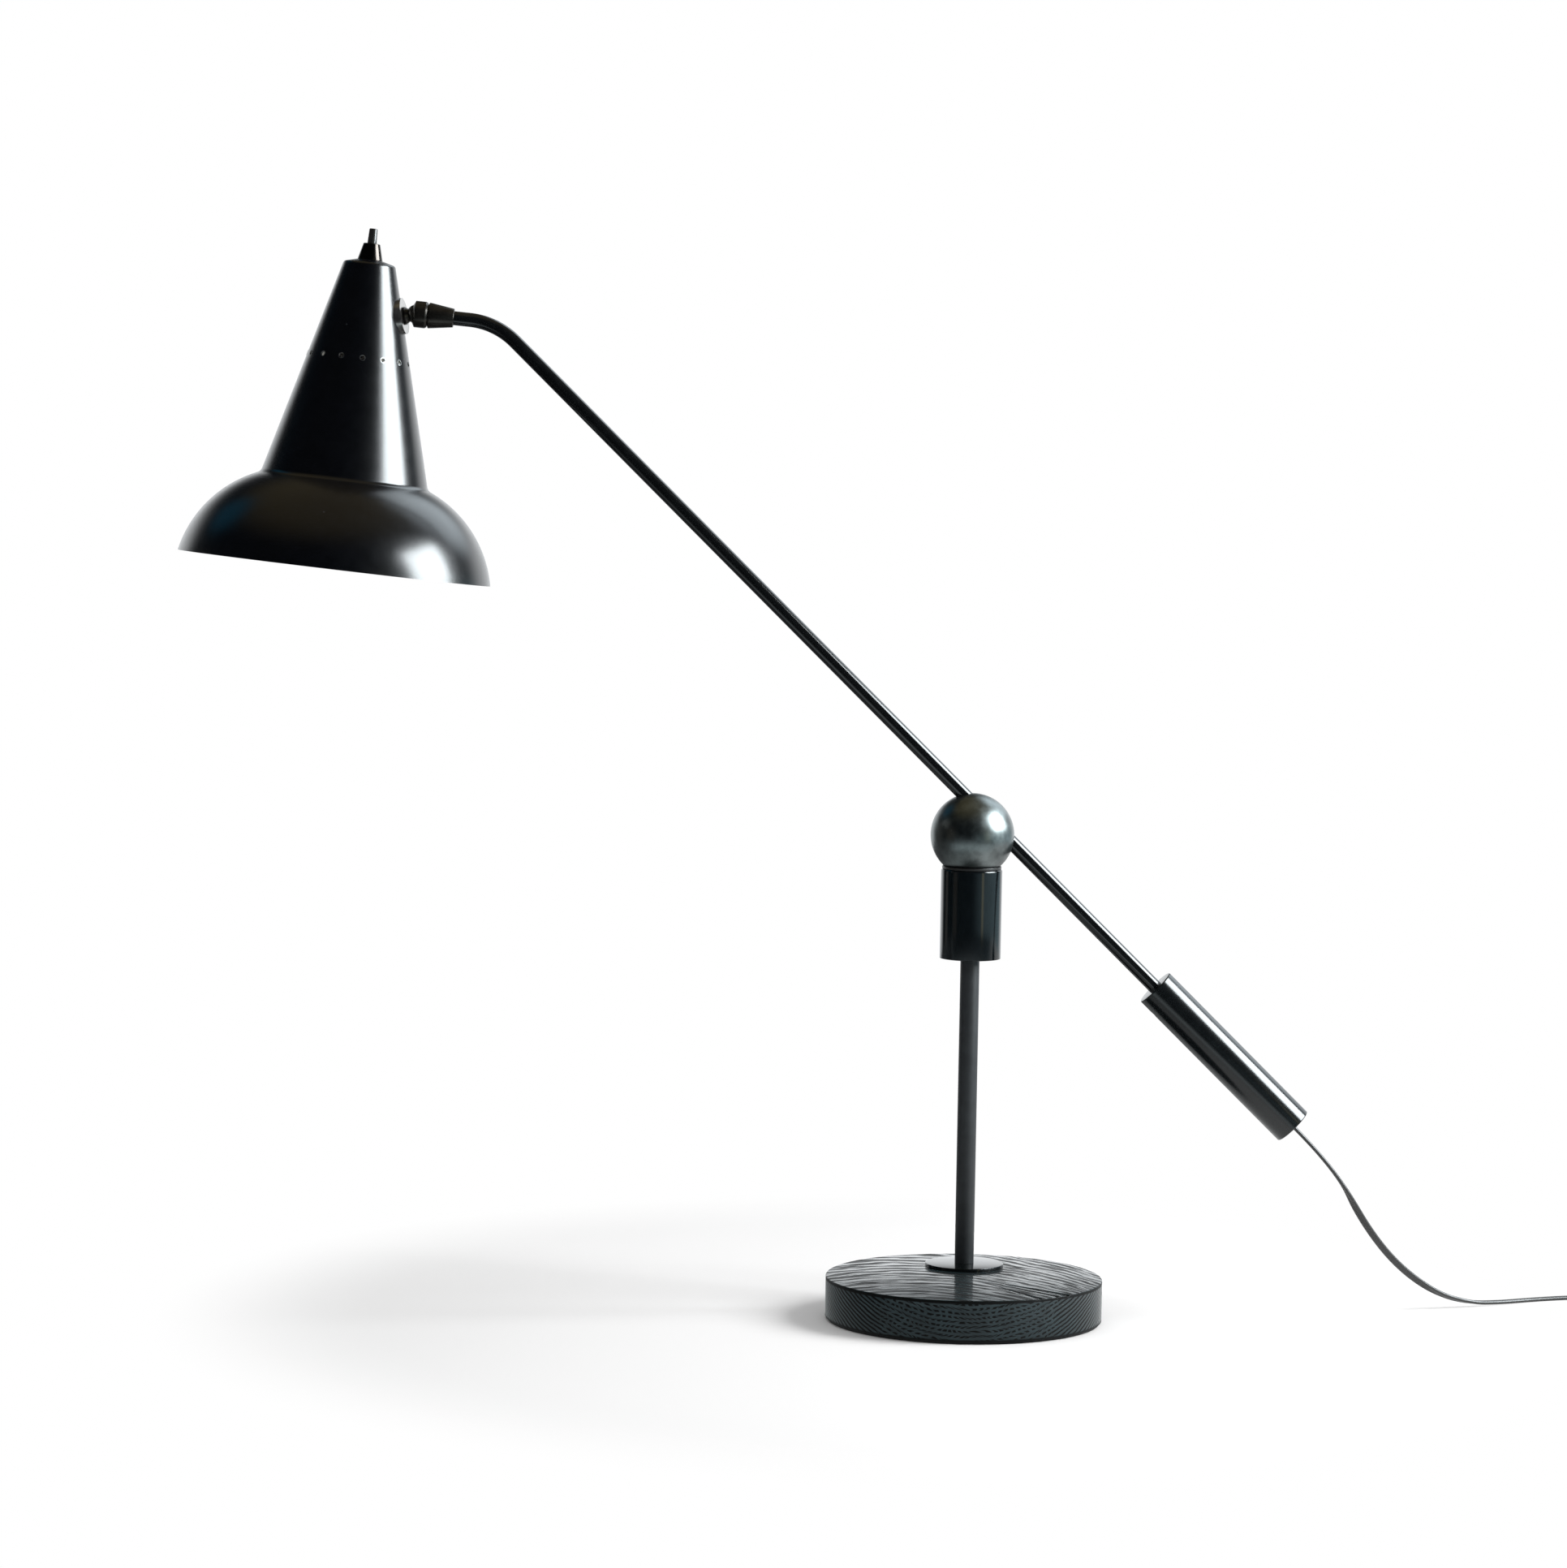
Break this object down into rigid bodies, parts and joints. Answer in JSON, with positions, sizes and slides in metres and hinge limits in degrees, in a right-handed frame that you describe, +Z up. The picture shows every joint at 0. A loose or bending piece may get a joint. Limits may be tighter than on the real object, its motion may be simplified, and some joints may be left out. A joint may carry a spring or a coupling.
{
  "type": "desk lamp",
  "caption": "Black counterweight balance desk lamp: conical shade on a ball swivel, bent arm through a steel ball on a magnet cup, upright stem and round wooden base.",
  "frame": {"origin": "centre of the base's flat underside", "axes": "+Z up; +X from the shade towards the counterweight; +Y towards the back, away from the viewer of the picture"},
  "size_m": [1.0411, 0.2364, 0.7114],
  "materials": {
    "felt": "matte",
    "stained_wood": "satin",
    "ballast_steel": "matte",
    "zinc_steel": "satin",
    "black_gloss_metal": "gloss",
    "black_satin_metal": "satin",
    "magnet_ferrite": "matte",
    "seat_plastic": "satin",
    "gunmetal_ball": "satin",
    "cord_sheath": "satin",
    "core_metal": "matte",
    "oxide_steel": "satin",
    "shade_enamel": "satin",
    "bronze_ferrule": "satin",
    "switch_plastic": "satin",
    "button_plastic": "gloss",
    "insert_ceramic": "matte",
    "contact_brass": "satin",
    "wire_sheath": "satin",
    "bulb_glass": "gloss",
    "plug_plastic": "satin"
  },
  "bodies": {
    "base": {"base_pad": "felt", "wooden_base": "stained_wood", "ballast_plate": "ballast_steel", "ballast_screws": "zinc_steel", "flange_plate": "black_gloss_metal", "stem_tube": "black_satin_metal", "tie_rod": "zinc_steel", "rod_nut": "zinc_steel", "lock_washer": "zinc_steel", "cup_housing": "black_satin_metal", "magnet_pot": "zinc_steel", "ring_magnet": "magnet_ferrite", "magnet_screw": "zinc_steel"},
    "seat": {"ball_seat": "seat_plastic", "cord_stretch": "cord_sheath", "cord_coil": "cord_sheath", "coil_tie": "seat_plastic", "plug_relief": "plug_plastic", "plug_body": "plug_plastic", "plug_pins": "contact_brass"},
    "ball": {"pivot_ball": "gunmetal_ball"},
    "arm": {"arm_tube": "black_satin_metal", "inner_cord": "cord_sheath", "counterweight_shell": "black_satin_metal", "counterweight_core": "core_metal", "counterweight_cap": "black_satin_metal", "counterweight_screw": "zinc_steel", "cord_bush": "seat_plastic", "swivel_socket": "oxide_steel", "swivel_collar": "oxide_steel", "swivel_spring": "zinc_steel"},
    "swivel_cup": {"swivel_seat": "seat_plastic"},
    "swivel_stud": {"ball_stud": "oxide_steel", "stud_nut": "zinc_steel"},
    "shade": {"shade_cone": "shade_enamel", "shade_bowl": "shade_enamel", "shade_rim": "shade_enamel", "saddle_washer": "oxide_steel", "inner_washer": "zinc_steel", "switch_ferrule": "bronze_ferrule", "switch_washer": "zinc_steel", "switch_body": "switch_plastic", "lampholder_bracket": "zinc_steel", "lampholder_nipple": "zinc_steel", "lampholder_cap": "switch_plastic", "lampholder_skirt": "switch_plastic", "lampholder_insert": "insert_ceramic", "thread_shell": "contact_brass", "centre_contact": "contact_brass", "shade_wires": "wire_sheath"},
    "button": {"switch_plunger": "button_plastic"},
    "bulb": {"bulb_glass": "bulb_glass", "bulb_cap": "contact_brass", "bulb_contact": "contact_brass"}
  },
  "joints": [
    {"name": "seat_turn", "type": "hinge", "parent": "base", "child": "seat", "pos_m": [0.0015, 0.0426, 0.3174], "axis": [0, 0, 1], "range_deg": [-170, 170]},
    {"name": "ball_tilt", "type": "hinge", "parent": "seat", "child": "ball", "pos_m": [0.0015, 0.0426, 0.3174], "axis": [0, 1, 0], "range_deg": [-50, 21]},
    {"name": "arm_roll", "type": "hinge", "parent": "ball", "child": "arm", "pos_m": [0.01191, 0.0426, 0.32806], "axis": [0.7157, 0, -0.6984], "range_deg": [-90, 90]},
    {"name": "swivel_turn", "type": "hinge", "parent": "arm", "child": "swivel_cup", "pos_m": [-0.37145, 0.0426, 0.65547], "axis": [0.9959, 0, -0.0906], "range_deg": [-170, 170]},
    {"name": "swivel_tilt", "type": "hinge", "parent": "swivel_cup", "child": "swivel_stud", "pos_m": [-0.37145, 0.0426, 0.65547], "axis": [0, 1, 0], "range_deg": [-11, 40]},
    {"name": "shade_turn", "type": "hinge", "parent": "swivel_stud", "child": "shade", "pos_m": [-0.37145, 0.0426, 0.65547], "axis": [0.9757, -0.1456, 0.1636], "range_deg": [-170, 170]},
    {"name": "button_press", "type": "slide", "parent": "shade", "child": "button", "axis": [-0.102, -0.0384, -0.994], "range_m": [0, 0.003], "stiffness_N_per_m": 400},
    {"name": "bulb_pull", "type": "slide", "parent": "shade", "child": "bulb", "axis": [-0.102, -0.0384, -0.994], "range_m": [0, 0.02]}
  ]
}
